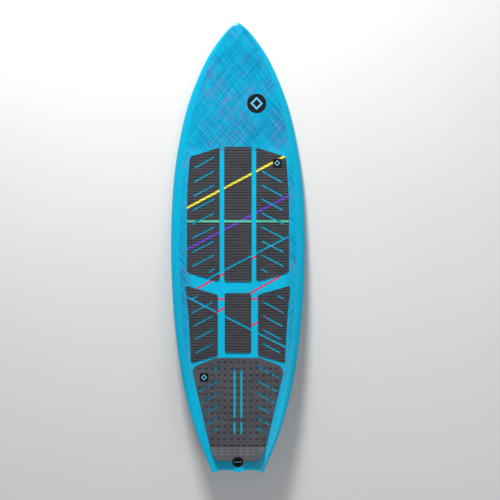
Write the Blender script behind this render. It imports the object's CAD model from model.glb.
"""Wave board: the looks of the board, its pads, plug, fins and screws, around the CAD frame."""

import math

import bpy
from bpy.props import FloatProperty, FloatVectorProperty, PointerProperty
from mathutils import Matrix, Vector


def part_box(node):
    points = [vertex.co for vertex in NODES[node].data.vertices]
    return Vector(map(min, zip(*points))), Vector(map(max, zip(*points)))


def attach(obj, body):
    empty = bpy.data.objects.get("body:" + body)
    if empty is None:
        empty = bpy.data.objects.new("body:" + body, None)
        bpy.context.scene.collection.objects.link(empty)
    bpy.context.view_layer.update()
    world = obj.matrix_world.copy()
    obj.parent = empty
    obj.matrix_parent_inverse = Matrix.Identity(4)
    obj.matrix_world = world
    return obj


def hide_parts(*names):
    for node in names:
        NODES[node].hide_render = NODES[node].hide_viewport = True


bl_info = {
    "name": "Wave Board",
    "version": (1, 0, 0),
    "blender": (4, 5, 0),
    "location": "View3D > Sidebar > Wave Board",
    "description": "Models the board's pads, knobs and signs, and finishes every piece",
    "category": "Object",
}

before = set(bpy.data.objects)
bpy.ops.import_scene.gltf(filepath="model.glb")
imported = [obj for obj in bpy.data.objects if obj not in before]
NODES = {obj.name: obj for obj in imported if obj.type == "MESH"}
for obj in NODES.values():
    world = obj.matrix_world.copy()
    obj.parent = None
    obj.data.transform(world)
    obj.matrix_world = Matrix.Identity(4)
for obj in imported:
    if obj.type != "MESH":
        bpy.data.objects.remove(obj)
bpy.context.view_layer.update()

# The board is designed level, y from the tail, and lies at rest pitched on its fins.
REST_PITCH = math.radians(7.285)
REST_SHIFT = Vector((0, -0.80445, 0.12859))
ALONG = Vector((0, math.cos(REST_PITCH), -math.sin(REST_PITCH)))
UP = Vector((0, math.sin(REST_PITCH), math.cos(REST_PITCH)))
TO_REST = Matrix.Translation(REST_SHIFT) @ Matrix.Rotation(-REST_PITCH, 4, "X")
TO_LEVEL = TO_REST.inverted()
SIDES = ("left", "centre", "right")

# the slanted cuts of the tail pad: half their width, then each one's inner and outer end, in level metres
CUT_HALF = 0.00325
RIGHT_CUTS = (
    ((0.0675, 0.3815), (0.146, 0.342)),
    ((0.0675, 0.333), (0.1385, 0.2935)),
    ((0.0675, 0.287), (0.1295, 0.253)),
    ((0.0675, 0.242), (0.120, 0.212)),
    ((0.0675, 0.1995), (0.111, 0.1755)),
    ((0.0675, 0.163), (0.102, 0.144)),
)
# the first one on the left is shorter
BADGE_CUT = ((-0.0675, 0.3815), (-0.0935, 0.3675))
LEFT_CUTS = (BADGE_CUT, *(((-a, b), (-c, d)) for (a, b), (c, d) in RIGHT_CUTS[1:]))

# lines straight down on the board start at this level height, over every piece
RAY_START = 0.3


# ---- properties ----


def colour(name, description, default):
    """A colour that a user may change"""
    return FloatVectorProperty(
        name=name, description=description, subtype="COLOR", size=3, min=0, max=1, default=default
    )


def length(name, description, default):
    """A distance that a user may change"""
    return FloatProperty(name=name, description=description, default=default, unit="LENGTH", precision=5)


def power(name, description, default):
    """A light's power that a user may change"""
    return FloatProperty(name=name, description=description, default=default, unit="POWER")


class HullSettings(bpy.types.PropertyGroup):
    """Colours and weave of the laminate"""

    base: colour("Laminate", "Ground colour of the hull", (0.0, 0.40, 0.61))
    strand: colour("Strand", "Darker strands of the weave", (0.0, 0.105, 0.30))
    bloom: colour("Bloom", "Violet streaks among the strands", (0.22, 0.10, 0.42))
    paint: colour("Painted line", "Lines painted under the pads", (0.66, 0.022, 0.115))
    strand_pitch: length("Strand pitch", "Distance between strands", 0.0072)
    line_width: length("Line width", "Width of a painted line", 0.0065)


class PadSettings(bpy.types.PropertyGroup):
    """Colours, ribs and knobs of the pads"""

    front: colour("Front pads", "Foam of the front pads", (0.045, 0.046, 0.054))
    tail: colour("Tail pad", "Foam of the tail pad", (0.075, 0.077, 0.090))
    kick: colour("Kick", "Firmer foam of the kick", (0.110, 0.112, 0.128))
    yellow: colour("Yellow", "Yellow stripe", (0.80, 0.72, 0.03))
    green: colour("Green", "Green stripe", (0.075, 0.56, 0.33))
    purple: colour("Purple", "Purple stripe", (0.125, 0.045, 0.50))
    sign: colour("Sign", "Raised diamonds of the badges and the nose mark", (0.12, 0.48, 0.70))
    rib_pitch: length("Rib pitch", "Distance between ribs", 0.010)
    rib_deep: length("Rib depth", "Depth of the grooves between ribs", 0.0021)
    rib_half: length("Groove half width", "Half the width of a groove", 0.0031)
    knob_pitch: length("Knob pitch", "Distance between knobs", 0.0228)
    knob_size: length("Knob size", "Width of a knob", 0.0128)
    knob_high: length("Knob height", "Height of a knob over the pad", 0.0040)


class StageSettings(bpy.types.PropertyGroup):
    """Floor, lights and camera"""

    floor: colour("Floor", "Colour of the floor", (0.78, 0.77, 0.75))
    distance: length("Camera distance", "From the middle of the board", 5.235)
    aim: FloatVectorProperty(
        name="Camera aim", description="Shift of the camera across the board", size=3, subtype="TRANSLATION",
        unit="LENGTH", default=(0.0433, -0.003, 0)
    )
    lens: FloatProperty(name="Lens", description="Focal length in mm", default=105.0)
    key_power: power("Key light", "Power of the light ahead of the nose", 150.0)
    fill_power: power("Fill light", "Power of the light behind the tail", 24.0)


# ---- node helpers ----


class Tree:
    """Short calls for adding and joining shader nodes"""

    def __init__(self, tree):
        self.tree = tree

    def node(self, kind, **values):
        made = self.tree.nodes.new(kind)
        for key, value in values.items():
            setattr(made, key, value)
        return made

    def put(self, socket, value):
        if isinstance(value, bpy.types.NodeSocket):
            self.tree.links.new(value, socket)
        else:
            socket.default_value = value

    def math(self, operation, a, b=0.0, c=0.0):
        made = self.node("ShaderNodeMath", operation=operation)
        for socket, value in zip(made.inputs, (a, b, c)):
            self.put(socket, value)
        return made.outputs[0]

    def mix(self, factor, a, b):
        made = self.node("ShaderNodeMix", data_type="RGBA")
        self.put(made.inputs["Factor"], factor)
        self.put(made.inputs["A"], a)
        self.put(made.inputs["B"], b)
        return made.outputs["Result"]

    def ramp(self, value, low, high):
        """0 below low and 1 above high, smooth between"""
        made = self.node("ShaderNodeMapRange", interpolation_type="SMOOTHSTEP")
        self.put(made.inputs["Value"], value)
        made.inputs["From Min"].default_value = low
        made.inputs["From Max"].default_value = high
        return made.outputs["Result"]

    def noise(self, place, scale, detail=2.0, rough=0.5):
        made = self.node("ShaderNodeTexNoise")
        self.put(made.inputs["Vector"], place)
        made.inputs["Scale"].default_value = scale
        made.inputs["Detail"].default_value = detail
        made.inputs["Roughness"].default_value = rough
        return made.outputs["Fac"]

    def level(self):
        """Object coordinates turned back to the level board, y from the tail"""
        place = self.node("ShaderNodeTexCoord").outputs["Object"]
        turned = self.node("ShaderNodeMapping")
        self.put(turned.inputs["Vector"], place)
        turned.inputs["Rotation"].default_value = TO_LEVEL.to_euler()
        turned.inputs["Location"].default_value = TO_LEVEL.translation
        return turned.outputs["Vector"]


def rgba(rgb):
    """A colour with full alpha"""
    return (*rgb, 1.0)


def group(name, inputs, outputs):
    """An empty shader node group with its sockets"""
    made = bpy.data.node_groups.new(name, "ShaderNodeTree")
    for socket, kind, default in inputs:
        item = made.interface.new_socket(socket, in_out="INPUT", socket_type=kind)
        if default is not None:
            item.default_value = default
    for socket, kind in outputs:
        made.interface.new_socket(socket, in_out="OUTPUT", socket_type=kind)
    tree = Tree(made)
    return tree, tree.node("NodeGroupInput"), tree.node("NodeGroupOutput")


# how far y rises for each metre of x along a strand
STRAND_RISE = 1.15


def strands_group():
    """Crossed diagonal strands: a mask that varies along each strand, and longer streaks along them"""
    tree, start, end = group(
        "Crossed strands",
        [("Place", "NodeSocketVector", None), ("Per Metre", "NodeSocketFloat", 118.0)],
        [("Mask", "NodeSocketFloat"), ("Streak", "NodeSocketFloat")],
    )
    xyz = tree.node("ShaderNodeSeparateXYZ")
    tree.put(xyz.inputs[0], start.outputs["Place"])
    masks = []
    streaks = []
    for sign, seed in ((1.0, 0.0), (-1.0, 7.3)):
        across = tree.math("MULTIPLY_ADD", xyz.outputs["X"], sign * STRAND_RISE, xyz.outputs["Y"])
        turns = tree.math("MULTIPLY", across, start.outputs["Per Metre"])
        wobble = tree.math("MULTIPLY", tree.noise(start.outputs["Place"], 24.0, 3.0), 0.9)
        moved = tree.math("ADD", turns, tree.math("ADD", wobble, seed))
        wave = tree.math("PINGPONG", moved, 0.5)
        line = tree.ramp(wave, 0.2, 0.4)
        # each strand is strong in some stretches and faint in others
        pick = tree.node("ShaderNodeCombineXYZ")
        tree.put(pick.inputs["X"], tree.math("FLOOR", moved))
        tree.put(pick.inputs["Y"], tree.math("MULTIPLY", xyz.outputs["X"], 7.0))
        tree.put(pick.inputs["Z"], seed)
        strong = tree.ramp(tree.noise(pick.outputs[0], 1.7, 2.0), 0.34, 0.66)
        masks.append(tree.math("MULTIPLY", line, strong))
        # streaks are noise drawn out along the strands
        drawn = tree.node("ShaderNodeCombineXYZ")
        tree.put(drawn.inputs["X"], tree.math("MULTIPLY", across, 95.0))
        tree.put(drawn.inputs["Y"], tree.math("MULTIPLY", xyz.outputs["X"], 26.0))
        tree.put(drawn.inputs["Z"], seed)
        streaks.append(tree.ramp(tree.noise(drawn.outputs[0], 1.0, 2.0), 0.52, 0.66))
    tree.put(end.inputs["Mask"], tree.math("MAXIMUM", *masks))
    tree.put(end.inputs["Streak"], tree.math("MAXIMUM", *streaks))
    return tree.tree


def grain_group():
    """Fine foam grain: speckle and slow drift of tone"""
    tree, start, end = group(
        "Foam grain",
        [("Place", "NodeSocketVector", None)],
        [("Speckle", "NodeSocketFloat"), ("Drift", "NodeSocketFloat")],
    )
    tree.put(end.inputs["Speckle"], tree.noise(start.outputs["Place"], 1400.0, 2.0, 0.7))
    tree.put(end.inputs["Drift"], tree.noise(start.outputs["Place"], 14.0, 4.0, 0.6))
    return tree.tree


def scuff_group():
    """Scattered light scuffs, for moulded and metal pieces"""
    tree, start, end = group(
        "Light scuffs",
        [("Place", "NodeSocketVector", None), ("Per Metre", "NodeSocketFloat", 180.0)],
        [("Scuff", "NodeSocketFloat"), ("Tone", "NodeSocketFloat")],
    )
    stretch = tree.node("ShaderNodeMapping")
    tree.put(stretch.inputs["Vector"], start.outputs["Place"])
    stretch.inputs["Scale"].default_value = (1.0, 0.16, 1.0)
    stretch.inputs["Rotation"].default_value = (0, 0, 0.7)
    made = tree.node("ShaderNodeTexNoise")
    tree.put(made.inputs["Vector"], stretch.outputs[0])
    tree.put(made.inputs["Scale"], start.outputs["Per Metre"])
    tree.put(end.inputs["Scuff"], tree.ramp(made.outputs["Fac"], 0.6, 0.74))
    tree.put(end.inputs["Tone"], tree.noise(start.outputs["Place"], 30.0, 3.0))
    return tree.tree


def placed(tree, group_tree, place, **values):
    """A node group in a material"""
    made = tree.node("ShaderNodeGroup")
    made.node_tree = group_tree
    tree.put(made.inputs["Place"], place)
    for key, value in values.items():
        made.inputs[key.replace("_", " ")].default_value = value
    return made.outputs


def new_material(name):
    """A material with only its Principled shader, and its tree"""
    made = bpy.data.materials.new(name)
    made.use_nodes = True
    made.node_tree.nodes.clear()
    tree = Tree(made.node_tree)
    shader = tree.node("ShaderNodeBsdfPrincipled")
    end = tree.node("ShaderNodeOutputMaterial")
    tree.put(end.inputs["Surface"], shader.outputs["BSDF"])
    return made, tree, shader


def bumped(tree, shader, height, distance, strength=1.0):
    """Fine relief on the shader's normal"""
    made = tree.node("ShaderNodeBump")
    tree.put(made.inputs["Height"], height)
    made.inputs["Distance"].default_value = distance
    made.inputs["Strength"].default_value = strength
    tree.put(shader.inputs["Normal"], made.outputs["Normal"])


# ---- materials ----


# painted lines in level metres: rise of y for each metre of x, y in the middle, and both ends in x
PAINTED = (
    (0.547, 0.739, -0.148, 0.126),
    (0.566, 0.6175, -0.078, 0.153),
    (0.585, 0.498, 0.047, 0.155),
    (0.0, 0.6217, -0.078, 0.078),
)

# the weave comes in over these stretches, in level metres: out beside the pads, and ahead of them
BESIDE_PADS = (0.150, 0.200)
AHEAD_OF_PADS = (1.13, 1.18)
# under and between the pads: the share of the weave that is left, and how much paler the ground is
PADS_WEAVE = 0.28
PADS_BRIGHT = 1.2
# the weave fades out where the surface turns away from level, by the cosine of its slope
RAIL_SLOPE = (0.975, 0.99)


def hull_material(settings, strands, name, lines):
    """Glossy laminate: strands that stop short of the rails, violet streaks, painted lines on the deck"""
    made, tree, shader = new_material(name)
    level = tree.level()
    normal = tree.node("ShaderNodeNewGeometry").outputs["Normal"]
    facing = tree.node("ShaderNodeVectorMath", operation="DOT_PRODUCT")
    tree.put(facing.inputs[0], normal)
    facing.inputs[1].default_value = UP
    flat = tree.ramp(tree.math("ABSOLUTE", facing.outputs["Value"]), *RAIL_SLOPE)
    parts = placed(tree, strands, level, Per_Metre=1 / settings.strand_pitch)
    mask = parts["Mask"]
    cloud = tree.ramp(tree.noise(level, 4.2, 4.0, 0.6), 0.36, 0.62)
    patch = tree.ramp(tree.noise(level, 9.0, 3.0), 0.42, 0.66)
    bloom = tree.math("MULTIPLY", tree.math("MULTIPLY", patch, parts["Streak"]), 0.55)
    ground = tree.mix(tree.math("MULTIPLY", bloom, flat), rgba(settings.base), rgba(settings.bloom))
    xyz = tree.node("ShaderNodeSeparateXYZ")
    tree.put(xyz.inputs[0], level)
    if lines:
        # the weave is thinner and its ground paler under and between the pads
        beside = tree.ramp(tree.math("ABSOLUTE", xyz.outputs["X"]), *BESIDE_PADS)
        ahead = tree.ramp(xyz.outputs["Y"], *AHEAD_OF_PADS)
        bare = tree.math("MAXIMUM", beside, ahead)
        share = tree.math("MULTIPLY_ADD", bare, 1 - PADS_WEAVE, PADS_WEAVE)
        flat = tree.math("MULTIPLY", flat, share)
        ground = tree.mix(bare, rgba([min(1, c * PADS_BRIGHT) for c in settings.base]), ground)
    density = tree.math("MULTIPLY_ADD", cloud, 0.6, 0.5)
    weight = tree.math("MULTIPLY", mask, tree.math("MULTIPLY", flat, density))
    base = tree.mix(weight, ground, rgba(settings.strand))
    if lines:
        for rise, middle, start, end in PAINTED:
            past_start = tree.math("GREATER_THAN", xyz.outputs["X"], start)
            inside = tree.math("MULTIPLY", past_start, tree.math("LESS_THAN", xyz.outputs["X"], end))
            target = tree.math("MULTIPLY_ADD", xyz.outputs["X"], rise, middle)
            off = tree.math("ABSOLUTE", tree.math("SUBTRACT", xyz.outputs["Y"], target))
            near = tree.math("LESS_THAN", off, settings.line_width / 2 * math.hypot(1, rise))
            base = tree.mix(tree.math("MULTIPLY", near, inside), base, rgba(settings.paint))
    tree.put(shader.inputs["Base Color"], base)
    haze = tree.noise(level, 60.0, 4.0)
    tree.put(shader.inputs["Roughness"], tree.math("MULTIPLY_ADD", haze, 0.16, 0.2))
    shader.inputs["Specular IOR Level"].default_value = 0.22
    shader.inputs["Coat Weight"].default_value = 0.14
    shader.inputs["Coat Roughness"].default_value = 0.1
    bumped(tree, shader, mask, 0.00008, 0.35)
    return made


def foam_material(grain, name, base, rough=0.86):
    """Soft closed-cell foam: grain, slow drift of tone and a dull sheen"""
    made, tree, shader = new_material(name)
    place = tree.node("ShaderNodeTexCoord").outputs["Object"]
    parts = placed(tree, grain, place)
    dark = rgba([c * 0.72 for c in base])
    light = rgba([min(1, c * 1.22) for c in base])
    tone = tree.math("MULTIPLY_ADD", parts["Speckle"], 0.5, tree.math("MULTIPLY", parts["Drift"], 0.5))
    tree.put(shader.inputs["Base Color"], tree.mix(tree.ramp(tone, 0.3, 0.7), dark, light))
    tree.put(shader.inputs["Roughness"], tree.math("MULTIPLY_ADD", parts["Drift"], 0.14, rough - 0.07))
    shader.inputs["Sheen Weight"].default_value = 0.12
    shader.inputs["Specular IOR Level"].default_value = 0.3
    bumped(tree, shader, parts["Speckle"], 0.00015, 0.6)
    return made


def moulded_material(scuffs, name, base, rough=0.42):
    """Moulded plastic or rubber with light scuffs"""
    made, tree, shader = new_material(name)
    place = tree.node("ShaderNodeTexCoord").outputs["Object"]
    parts = placed(tree, scuffs, place)
    worn = rgba([min(1, c * 1.4 + 0.012) for c in base])
    wear = tree.math("MULTIPLY", parts["Scuff"], 0.5)
    tree.put(shader.inputs["Base Color"], tree.mix(wear, rgba(base), worn))
    tree.put(shader.inputs["Roughness"], tree.math("MULTIPLY_ADD", parts["Tone"], 0.2, rough - 0.1))
    shader.inputs["Specular IOR Level"].default_value = 0.22
    bumped(tree, shader, tree.noise(place, 900.0, 2.0), 0.00006, 0.5)
    return made


def steel_material(scuffs):
    """Stainless steel with fine scratches"""
    made, tree, shader = new_material("stainless_steel")
    place = tree.node("ShaderNodeTexCoord").outputs["Object"]
    parts = placed(tree, scuffs, place, Per_Metre=900.0)
    dull, bright = (0.52, 0.53, 0.55, 1), (0.72, 0.72, 0.73, 1)
    tree.put(shader.inputs["Base Color"], tree.mix(parts["Scuff"], dull, bright))
    tree.put(shader.inputs["Roughness"], tree.math("MULTIPLY_ADD", parts["Tone"], 0.25, 0.2))
    shader.inputs["Metallic"].default_value = 1.0
    return made


# squares of the fins' weave in a metre
FIN_WEAVE = 330.0


def fin_material():
    """Glass composite: a fine square weave under clear resin"""
    made, tree, shader = new_material("fin_composite")
    level = tree.level()
    xyz = tree.node("ShaderNodeSeparateXYZ")
    tree.put(xyz.inputs[0], level)
    rows = tree.math("PINGPONG", tree.math("MULTIPLY", xyz.outputs["Y"], FIN_WEAVE), 0.5)
    columns = tree.math("PINGPONG", tree.math("MULTIPLY", xyz.outputs["Z"], FIN_WEAVE), 0.5)
    weave = tree.math("ABSOLUTE", tree.math("SUBTRACT", rows, columns))
    tree.put(shader.inputs["Base Color"], tree.mix(weave, (0.008, 0.009, 0.011, 1), (0.05, 0.055, 0.062, 1)))
    tree.put(shader.inputs["Roughness"], tree.math("MULTIPLY_ADD", tree.noise(level, 40.0), 0.14, 0.2))
    shader.inputs["Coat Weight"].default_value = 0.6
    return made


def core_material():
    """White bead foam of the core"""
    made, tree, shader = new_material("core_foam")
    place = tree.node("ShaderNodeTexCoord").outputs["Object"]
    beads = tree.node("ShaderNodeTexVoronoi")
    tree.put(beads.inputs["Vector"], place)
    beads.inputs["Scale"].default_value = 320.0
    middle, seam = (0.86, 0.86, 0.83, 1), (0.7, 0.7, 0.67, 1)
    tree.put(shader.inputs["Base Color"], tree.mix(beads.outputs["Distance"], middle, seam))
    shader.inputs["Roughness"].default_value = 0.9
    bumped(tree, shader, beads.outputs["Distance"], 0.0004, 0.5)
    return made


def wood_material():
    """Pale straight-grained strip"""
    made, tree, shader = new_material("stringer_wood")
    level = tree.level()
    stretch = tree.node("ShaderNodeMapping")
    tree.put(stretch.inputs["Vector"], level)
    stretch.inputs["Scale"].default_value = (40.0, 1.0, 40.0)
    grain = tree.noise(stretch.outputs[0], 9.0, 5.0, 0.6)
    tree.put(shader.inputs["Base Color"], tree.mix(grain, (0.45, 0.29, 0.15, 1), (0.66, 0.48, 0.29, 1)))
    tree.put(shader.inputs["Roughness"], tree.math("MULTIPLY_ADD", grain, 0.2, 0.5))
    return made


def floor_material(settings):
    """Pale plain floor with the faintest mottle"""
    made, tree, shader = new_material("studio_floor")
    place = tree.node("ShaderNodeTexCoord").outputs["Object"]
    base = Vector(settings.floor)
    drift = tree.noise(place, 1.6, 3.0)
    tree.put(shader.inputs["Base Color"], tree.mix(drift, rgba(base * 0.96), rgba(base * 1.03)))
    shader.inputs["Roughness"].default_value = 0.85
    return made


# ---- mesh helpers ----


def only(piece):
    """Make a piece the one selected and active object"""
    bpy.ops.object.select_all(action="DESELECT")
    piece.select_set(True)
    bpy.context.view_layer.objects.active = piece


# corners of a CAD mesh nearer than this are one
WELD = 0.00002


def copied(node, name):
    """A merged copy of a CAD node, free to be shaped"""
    made = NODES[node].copy()
    made.data = NODES[node].data.copy()
    made.name = name
    made.data.name = name
    made.parent = None
    for key in list(made.keys()):
        del made[key]
    bpy.context.collection.objects.link(made)
    only(made)
    bpy.ops.object.mode_set(mode="EDIT")
    bpy.ops.mesh.select_all(action="SELECT")
    bpy.ops.mesh.remove_doubles(threshold=WELD)
    bpy.ops.mesh.customdata_custom_splitnormals_clear()
    bpy.ops.object.mode_set(mode="OBJECT")
    return made


def cut_across(piece, distance):
    """Cut the whole mesh by a plane square to the board's length, y from the tail"""
    bpy.ops.mesh.select_all(action="SELECT")
    spot = TO_REST @ Vector((0, distance, 0))
    bpy.ops.mesh.bisect(plane_co=spot, plane_no=ALONG)


# a groove is pressed in at corners this near its middle line, where the surface faces up at least this much
ON_LINE = 0.00004
RIB_FACING = 0.35


def ribbed(piece, pitch, half, deep):
    """Press grooves across a pad's top, square to the board's length"""
    along = [(TO_LEVEL @ v.co).y for v in piece.data.vertices]
    first = math.ceil((min(along) + half) / pitch)
    last = math.floor((max(along) - half) / pitch)
    only(piece)
    bpy.ops.object.mode_set(mode="EDIT")
    for count in range(first, last + 1):
        for offset in (-half, 0.0, half):
            cut_across(piece, count * pitch + offset)
    bpy.ops.object.mode_set(mode="OBJECT")
    for vertex in piece.data.vertices:
        place = (TO_LEVEL @ vertex.co).y / pitch
        on_line = abs(place - round(place)) * pitch < ON_LINE and first <= round(place) <= last
        if on_line and vertex.normal.dot(UP) > RIB_FACING:
            vertex.co -= UP * deep


def finish_piece(piece, body, nodes, material, angle=40):
    """Smooth shading, material and the frame's calls for a finished piece"""
    only(piece)
    bpy.ops.object.shade_smooth_by_angle(angle=math.radians(angle))
    piece.data.materials.clear()
    piece.data.materials.append(material)
    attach(piece, body)
    if nodes:
        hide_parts(*nodes)


def dropped(piece, x, y):
    """Where a line straight down over a level place meets a piece, and the normal there, or None twice"""
    start = TO_REST @ Vector((x, y, RAY_START))
    hit, place, normal, _ = piece.ray_cast(start, -UP)
    return (place, normal) if hit else (None, None)


# the top of a pad faces up at least this much
TOP_FACING = 0.8


def top_height(pad, x, y):
    """Level height of a pad's top over a level place, or None beside it"""
    place, normal = dropped(pad, x, y)
    if place is None or normal.dot(UP) < TOP_FACING:
        return None
    return (TO_LEVEL @ place).z


def joined(pieces, name):
    """Several meshes made one"""
    only(pieces[0])
    for piece in pieces[1:]:
        piece.select_set(True)
    if len(pieces) > 1:
        bpy.ops.object.join()
    made = bpy.context.object
    made.name = name
    made.data.name = name
    return made


def rounded_block(name, size, edge):
    """A block with soft edges, modelled at the origin and standing on it"""
    bpy.ops.object.select_all(action="DESELECT")
    bpy.ops.mesh.primitive_cube_add(size=1, location=(0, 0, size[2] / 2))
    made = bpy.context.object
    made.name = name
    made.scale = size
    bpy.ops.object.transform_apply(location=True, rotation=False, scale=True)
    bpy.ops.object.mode_set(mode="EDIT")
    bpy.ops.mesh.select_all(action="SELECT")
    bpy.ops.mesh.bevel(offset=edge, segments=2, affect="EDGES")
    bpy.ops.object.mode_set(mode="OBJECT")
    return made


def stamped(source, place, lean=0.0):
    """A copy of a small mesh set on the board at a place, leant towards the nose"""
    made = source.copy()
    made.data = source.data.copy()
    bpy.context.collection.objects.link(made)
    turned = Matrix.Rotation(-REST_PITCH - lean, 4, "X")
    made.data.transform(Matrix.Translation(place) @ turned)
    return made


# ---- operators ----


class HullOperator(bpy.types.Operator):
    """Finish the two skins, the core and the stringer"""

    bl_idname = "waveboard.hull"
    bl_label = "Hull"

    def execute(self, context):
        settings = context.scene.waveboard_hull
        strands = strands_group()
        deck = hull_material(settings, strands, "deck_laminate", True)
        bottom = hull_material(settings, strands, "bottom_laminate", False)
        for node, material in (("deck_skin", deck), ("bottom_skin", bottom)):
            dress(node, material)
        core = core_material()
        dress("foam_core_left", core)
        dress("foam_core_right", core)
        dress("stringer", wood_material())
        return {"FINISHED"}


def dress(node, material):
    """Give a CAD node its material"""
    data = NODES[node].data
    data.materials.clear()
    data.materials.append(material)


class FrontPadsOperator(bpy.types.Operator):
    """Model the ribbed front pads and the stripes let into them"""

    bl_idname = "waveboard.front_pads"
    bl_label = "Front pads"

    def execute(self, context):
        settings = context.scene.waveboard_pads
        grain = bpy.data.node_groups.get("Foam grain") or grain_group()
        foam = foam_material(grain, "front_pad_foam", settings.front)
        for node in sorted(NODES):
            if node.startswith(("front_pad_", "mid_pad_")):
                self.make(settings, node, "grip_foam", foam)
        for name in ("yellow", "green", "purple"):
            material = foam_material(grain, name + "_stripe_foam", getattr(settings, name), 0.7)
            for side in SIDES:
                self.make(settings, f"{name}_stripe_{side}", name + "_foam", material)
        return {"FINISHED"}

    def make(self, settings, node, slot, material):
        piece = copied(node, node + "_ribbed")
        ribbed(piece, settings.rib_pitch, settings.rib_half, settings.rib_deep)
        finish_piece(piece, "root", [node], material, angle=30)


# soft edge of a knob as a share of its height, and how far it sinks into the pad and into the kick's ramp
KNOB_EDGE = 0.72
KNOB_SUNK = 0.0003
RAMP_KNOB_SUNK = 0.0006
# in knob widths: the pad's first row, from its front edge, and the ramp's rows, from the kick's front edge
FIRST_ROW = 0.6
RAMP_ROWS = (0.5, 1.25)
# in knob widths: how far from a knob's middle the four places lie that need foam under them
CORNER_REACH = 0.3
# in knob widths: how near a cut's edge or end trims a knob, and the narrowest part that is kept
EDGE_REACH = 0.7
END_REACH = 0.5
LEAST_PART = 0.17
# a place without foam is inside a cut up to this many half widths from the cut's line
CUT_SLACK = 1.3
BADGE_CLEAR = 0.001
RAMP_FACING = 0.3
KICK_EDGE = 0.0016
KICK_EDGE_ANGLE = math.radians(40)


def soft_knob(settings):
    """One knob with soft edges, at the origin"""
    size = settings.knob_size
    return rounded_block("knob", (size, size, settings.knob_high), settings.knob_high * KNOB_EDGE)


class TailPadOperator(bpy.types.Operator):
    """Model the knobbed tail pad and its kick"""

    bl_idname = "waveboard.tail_pad"
    bl_label = "Tail pad"

    def execute(self, context):
        settings = context.scene.waveboard_pads
        grain = bpy.data.node_groups.get("Foam grain") or grain_group()
        foam = foam_material(grain, "tail_pad_foam", settings.tail)
        field = copied("tail_pad", "tail_pad_field")
        knobs = self.knobs(settings, field)
        pad = joined([field, *knobs], "tail_pad_knobbed")
        finish_piece(pad, "root", ["tail_pad"], foam)
        kick = copied("tail_kick", "tail_kick_body")
        only(kick)
        bevel = kick.modifiers.new("soft_edges", "BEVEL")
        bevel.width = KICK_EDGE
        bevel.segments = 3
        bevel.limit_method = "ANGLE"
        bevel.angle_limit = KICK_EDGE_ANGLE
        bpy.ops.object.modifier_apply(modifier=bevel.name)
        kick = joined([kick, *self.ramp_knobs(settings, kick)], "tail_kick_knobbed")
        firm = foam_material(grain, "tail_kick_foam", settings.kick)
        finish_piece(kick, "root", ["tail_kick"], firm)
        return {"FINISHED"}

    def ramp_knobs(self, settings, kick):
        """Two rows of knobs up the ramp of the kick"""
        size = settings.knob_size
        knob = soft_knob(settings)
        low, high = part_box("tail_kick")
        front = max((TO_LEVEL @ v.co).y for v in kick.data.vertices)
        count = int((high.x - low.x) / 2 / settings.knob_pitch) - 1
        made = []
        for row in RAMP_ROWS:
            y = front - row * size
            for column in range(-count, count + 1):
                place, normal = dropped(kick, column * settings.knob_pitch, y)
                if place is not None and normal.dot(UP) > RAMP_FACING:
                    lean = math.acos(min(1, normal.dot(UP)))
                    made.append(stamped(knob, place - normal * RAMP_KNOB_SUNK, lean=lean))
        bpy.data.objects.remove(knob)
        return made

    def knobs(self, settings, field):
        """Rows of soft knobs over the pad, trimmed where a slanted cut crosses them"""
        size = settings.knob_size
        pitch = settings.knob_pitch
        knob = soft_knob(settings)
        level = [TO_LEVEL @ v.co for v in field.data.vertices]
        top = max(p.y for p in level)
        bottom = min(p.y for p in level)
        columns = int(max(p.x for p in level) / pitch) + 1
        made = []
        for row in range(int((top - bottom) / pitch) + 1):
            y = top - size * FIRST_ROW - row * pitch
            for column in range(-columns, columns + 1):
                made += self.knob_at(knob, field, Vector((column * pitch, y)), size)
        bpy.data.objects.remove(knob)
        return made

    def knob_at(self, knob, field, spot, size):
        """The knob over a level place: whole, in trimmed parts, or none off the pad and at the badge"""
        reach = size * CORNER_REACH
        cut = min(RIGHT_CUTS + LEFT_CUTS, key=lambda ends: sum(map(abs, beside(ends, spot))))
        heights = []
        for across, along in ((-1, -1), (-1, 1), (1, -1), (1, 1)):
            corner = spot + Vector((across, along)) * reach
            height = top_height(field, *corner)
            if height is not None:
                heights.append(height)
                continue
            off, past = beside(cut, corner)
            if abs(off) > CUT_HALF * CUT_SLACK or past > CUT_HALF:
                return []
        if not heights:
            return []
        place = TO_REST @ Vector((*spot, sum(heights) / len(heights)))
        low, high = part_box("tail_badge")
        clear = size / 2 + BADGE_CLEAR
        if low.x - clear < place.x < high.x + clear and low.y - clear < place.y < high.y + clear:
            return []
        place -= UP * KNOB_SUNK
        off, past = beside(cut, spot)
        if abs(off) > CUT_HALF + size * EDGE_REACH or past > size * END_REACH:
            return [stamped(knob, place)]
        least = size * LEAST_PART
        sides = [side for side in (1, -1) if size / 2 + side * off - CUT_HALF > least]
        return [trimmed(stamped(knob, place), cut, side) for side in sides]


def beside(cut, spot):
    """Distance of a level place to the left of a cut's line, and how far it is past the cut's ends"""
    start, end = Vector(cut[0]), Vector(cut[1])
    run = (end - start).normalized()
    along = (spot - start).dot(run)
    past = max(-along, along - (end - start).length, 0)
    return (spot - start).dot(Vector((-run.y, run.x))), past


def trimmed(piece, cut, side):
    """Cut a knob along one edge of a cut in the pad, and keep the part on that side"""
    start, end = Vector(cut[0]), Vector(cut[1])
    run = (end - start).normalized()
    out = Vector((-run.y, run.x)) * side
    edge = start + out * CUT_HALF
    only(piece)
    bpy.ops.object.mode_set(mode="EDIT")
    bpy.ops.mesh.select_all(action="SELECT")
    spot = TO_REST @ edge.to_3d()
    normal = TO_REST.to_3x3() @ out.to_3d()
    bpy.ops.mesh.bisect(plane_co=spot, plane_no=normal, use_fill=True, clear_inner=True)
    bpy.ops.object.mode_set(mode="OBJECT")
    return piece


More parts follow.
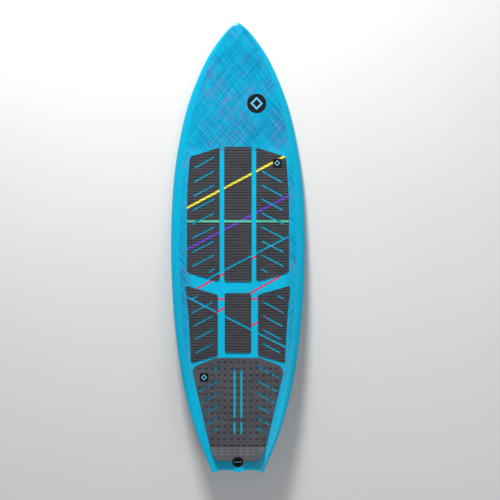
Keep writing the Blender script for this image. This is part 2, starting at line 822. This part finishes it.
# width of the raised diamond on each node, then its height, and how far it sinks in
SIGN_WIDTHS = {"front_badge": 0.021, "tail_badge": 0.021, "nose_mark": 0.046}
SIGN_HIGH = 0.0006
SIGN_SUNK = 0.0001
# width of a diamond's bars as a share of its own, and their soft edge as a share of their height
BAR_SHARE = 0.14
BAR_EDGE = 0.3
RUBBER_BLACK = (0.004, 0.004, 0.005)


class SignsOperator(bpy.types.Operator):
    """Model the plain signs on the badges and the nose mark"""

    bl_idname = "waveboard.signs"
    bl_label = "Signs"

    def execute(self, context):
        settings = context.scene.waveboard_pads
        scuffs = bpy.data.node_groups.get("Light scuffs") or scuff_group()
        rubber = moulded_material(scuffs, "badge_rubber", RUBBER_BLACK, 0.75)
        raised = moulded_material(scuffs, "sign_rubber", settings.sign, 0.5)
        for node, width in SIGN_WIDTHS.items():
            dress(node, rubber)
            low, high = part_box(node)
            sign = diamond(node + "_sign", width, SIGN_HIGH)
            draped(sign, NODES[node], TO_LEVEL @ ((low + high) / 2))
            finish_piece(sign, "root", [], raised)
        return {"FINISHED"}


def draped(piece, ground, level):
    """Lay a flat piece, modelled at the origin, on the top of a CAD node around a level place"""
    for vertex in piece.data.vertices:
        place, _ = dropped(ground, level.x + vertex.co.x, level.y + vertex.co.y)
        if place is None:
            raise RuntimeError(piece.name + " reaches past " + ground.name)
        vertex.co = place + UP * (vertex.co.z - SIGN_SUNK)


def diamond(name, width, high):
    """A square frame standing on its corner, with soft edges"""
    bpy.ops.object.select_all(action="DESELECT")
    bpy.ops.mesh.primitive_circle_add(vertices=4, radius=width / 2, fill_type="NGON")
    made = bpy.context.object
    made.name = name
    bpy.ops.object.mode_set(mode="EDIT")
    bpy.ops.mesh.select_all(action="SELECT")
    bpy.ops.mesh.inset(thickness=width * BAR_SHARE)
    bpy.ops.mesh.delete(type="FACE")
    bpy.ops.mesh.select_all(action="SELECT")
    bpy.ops.mesh.subdivide(number_cuts=3)
    bpy.ops.object.mode_set(mode="OBJECT")
    wall = made.modifiers.new("wall", "SOLIDIFY")
    wall.thickness = high
    wall.offset = 1
    edges = made.modifiers.new("soft_edges", "BEVEL")
    edges.width = high * BAR_EDGE
    edges.segments = 2
    bpy.ops.object.modifier_apply(modifier=wall.name)
    bpy.ops.object.modifier_apply(modifier=edges.name)
    return made


PLASTIC_BLACK = (0.014, 0.015, 0.017)


class FittingsOperator(bpy.types.Operator):
    """Finish the leash plug, the fin boxes, the fins and the screws"""

    bl_idname = "waveboard.fittings"
    bl_label = "Fittings"

    def execute(self, context):
        scuffs = bpy.data.node_groups.get("Light scuffs") or scuff_group()
        plastic = moulded_material(scuffs, "moulded_black", PLASTIC_BLACK)
        steel = steel_material(scuffs)
        fin = fin_material()
        dress("leash_plug", plastic)
        dress("leash_pin", steel)
        for side in SIDES:
            dress(f"fin_box_{side}", plastic)
            dress(f"fin_{side}", fin)
            for end in ("front", "rear"):
                dress(f"fin_screw_{side}_{end}", steel)
        return {"FINISHED"}


FLOOR_SIZE = 30
# the middle of the board, in level metres
MIDDLE = (0, 0.80, 0.03)
# lights: their place across, towards the nose and up from the middle of the level board, and their size
KEY_LIGHT = ((-0.5, 2.7, 2.4), 0.8)
FILL_LIGHT = ((1.6, -2.0, 3.2), 2.6)
WORLD_COLOUR = (0.9, 0.93, 1.0)
WORLD_STRENGTH = 0.30


class StageOperator(bpy.types.Operator):
    """Make the floor, the lights and the camera"""

    bl_idname = "waveboard.stage"
    bl_label = "Stage"

    def execute(self, context):
        settings = context.scene.waveboard_stage
        bpy.ops.object.select_all(action="DESELECT")
        bpy.ops.mesh.primitive_plane_add(size=FLOOR_SIZE, location=(0, 0, 0))
        floor = context.object
        floor.name = "studio_floor"
        floor.data.materials.append(floor_material(settings))
        middle = TO_REST @ Vector(MIDDLE)
        self.light(context, "key", middle, *KEY_LIGHT, settings.key_power)
        self.light(context, "fill", middle, *FILL_LIGHT, settings.fill_power)
        world = bpy.data.worlds.new("studio")
        context.scene.world = world
        world.use_nodes = True
        background = world.node_tree.nodes["Background"]
        background.inputs["Color"].default_value = rgba(WORLD_COLOUR)
        background.inputs["Strength"].default_value = WORLD_STRENGTH
        data = bpy.data.cameras.new("camera")
        data.lens = settings.lens
        camera = bpy.data.objects.new("camera", data)
        context.collection.objects.link(camera)
        camera.location = middle + UP * settings.distance + Vector(settings.aim)
        camera.rotation_mode = "QUATERNION"
        across = ALONG.cross(UP)
        turn = Matrix((across, ALONG, UP)).transposed()
        camera.rotation_quaternion = turn.to_quaternion()
        context.scene.camera = camera
        context.scene.view_settings.view_transform = "Standard"
        return {"FINISHED"}

    def light(self, context, name, target, offset, size, power):
        """An area light beside the target, turned towards it"""
        across, ahead, up = offset
        place = target + ALONG * ahead + UP * up + Vector((across, 0, 0))
        data = bpy.data.lights.new(name, "AREA")
        data.size = size
        data.energy = power
        lamp = bpy.data.objects.new(name, data)
        lamp.location = place
        lamp.rotation_euler = (target - place).to_track_quat("-Z", "Y").to_euler()
        context.collection.objects.link(lamp)


class WaveBoardPanel(bpy.types.Panel):
    """Buttons and settings of the board, in the sidebar"""

    bl_label = "Wave Board"
    bl_idname = "VIEW3D_PT_waveboard"
    bl_space_type = "VIEW_3D"
    bl_region_type = "UI"
    bl_category = "Wave Board"

    def draw(self, context):
        for operator in OPERATORS:
            self.layout.operator(operator.bl_idname)
        for name in SETTINGS:
            settings = getattr(context.scene, name)
            for key in settings.__annotations__:
                self.layout.prop(settings, key)


OPERATORS = (
    HullOperator,
    FrontPadsOperator,
    TailPadOperator,
    SignsOperator,
    FittingsOperator,
    StageOperator,
)
SETTINGS = {
    "waveboard_hull": HullSettings,
    "waveboard_pads": PadSettings,
    "waveboard_stage": StageSettings,
}


def register():
    for made in (*SETTINGS.values(), *OPERATORS, WaveBoardPanel):
        bpy.utils.register_class(made)
    for name, made in SETTINGS.items():
        setattr(bpy.types.Scene, name, PointerProperty(type=made))


def unregister():
    for name in SETTINGS:
        delattr(bpy.types.Scene, name)
    for made in reversed((*SETTINGS.values(), *OPERATORS, WaveBoardPanel)):
        bpy.utils.unregister_class(made)


def main():
    register()
    bpy.ops.waveboard.hull()
    bpy.ops.waveboard.front_pads()
    bpy.ops.waveboard.tail_pad()
    bpy.ops.waveboard.signs()
    bpy.ops.waveboard.fittings()
    bpy.ops.waveboard.stage()


if __name__ == "__main__":
    main()
